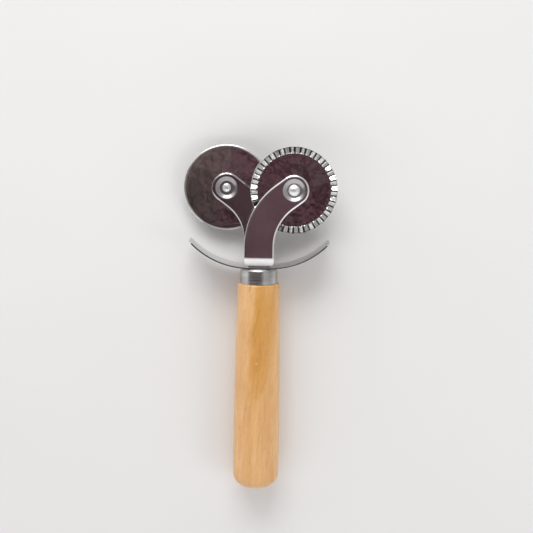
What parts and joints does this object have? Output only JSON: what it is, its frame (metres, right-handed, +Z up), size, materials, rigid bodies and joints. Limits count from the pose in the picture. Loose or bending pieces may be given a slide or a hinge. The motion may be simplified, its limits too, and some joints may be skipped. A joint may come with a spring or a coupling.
{
  "type": "double-wheel pizza and pastry cutter",
  "caption": "Hand-held pizza and pastry cutter with a plain and a fluted wheel in folded steel forks, a curved finger guard, a steel ferrule and a turned wooden handle.",
  "frame": {"origin": "centre of the bottom of the tool's box, on the table that its handle lies on", "axes": "+Y along the handle from the butt to the wheels, +X to the side of the fluted wheel, +Z up from the table through the front face"},
  "size_m": [0.089, 0.203, 0.0272],
  "materials": {
    "handle_wood": "light wood, turned, sanded and clear varnished",
    "polished_steel": "bright polished stainless sheet",
    "blade_steel": "mirror polished stainless disc",
    "plain_steel": "plain drawn steel rod",
    "rivet_metal": "bright semi-tubular rivet"
  },
  "bodies": {
    "root": {"handle": "handle_wood", "ferrule": "polished_steel", "tang": "plain_steel", "finger_guard": "polished_steel", "outer_fork": "polished_steel", "inner_fork": "polished_steel", "fluted_wheel_rivet": "rivet_metal", "plain_wheel_rivet": "rivet_metal"},
    "fluted_wheel": {"fluted_wheel": "blade_steel"},
    "plain_wheel": {"plain_wheel": "blade_steel"}
  },
  "joints": [
    {"name": "fluted_wheel_spin", "type": "hinge", "parent": "root", "child": "fluted_wheel", "pos_m": [0.0195, 0.07645, 0.0195], "axis": [0, 0, 1], "continuous": true},
    {"name": "plain_wheel_spin", "type": "hinge", "parent": "root", "child": "plain_wheel", "pos_m": [-0.0195, 0.07645, 0.0077], "axis": [0, 0, 1], "continuous": true}
  ]
}
